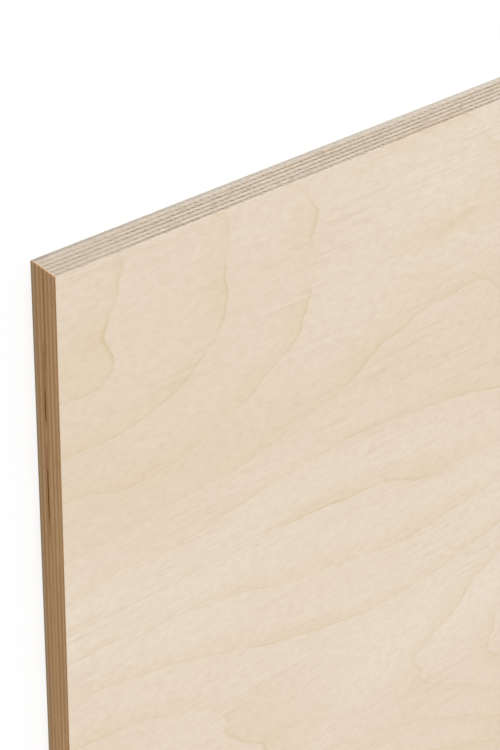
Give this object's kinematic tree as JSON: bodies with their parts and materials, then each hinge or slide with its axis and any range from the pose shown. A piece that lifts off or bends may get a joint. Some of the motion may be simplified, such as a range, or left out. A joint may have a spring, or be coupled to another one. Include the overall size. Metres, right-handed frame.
{
  "type": "birch plywood sheet",
  "caption": "Square sheet of birch plywood: crossed veneers show as light and dark lines along the sawn edges, and an edge has small core gaps.",
  "frame": {"origin": "centre of the back face, which lies on the floor", "axes": "+X along the grain of the face veneer, +Y across it, +Z out of the face. The edge at -Y is the picture's top edge and the edge at +X is the picture's left edge."},
  "size_m": [1.525, 1.525, 0.018],
  "materials": {
    "sanded_birch_face": "sanded, unfinished rotary-cut birch",
    "long_grain_core": "sawn edge, unfinished",
    "cross_grain_core": "sawn edge, unfinished"
  },
  "bodies": {
    "root": {"face_veneer": "sanded_birch_face", "cross_ply_02": "cross_grain_core", "long_ply_03": "long_grain_core", "cross_ply_04": "cross_grain_core", "long_ply_05": "long_grain_core", "cross_ply_06": "cross_grain_core", "long_ply_07": "long_grain_core", "cross_ply_08": "cross_grain_core", "long_ply_09": "long_grain_core", "cross_ply_10": "cross_grain_core", "long_ply_11": "long_grain_core", "cross_ply_12": "cross_grain_core", "back_veneer": "sanded_birch_face"}
  },
  "joints": []
}
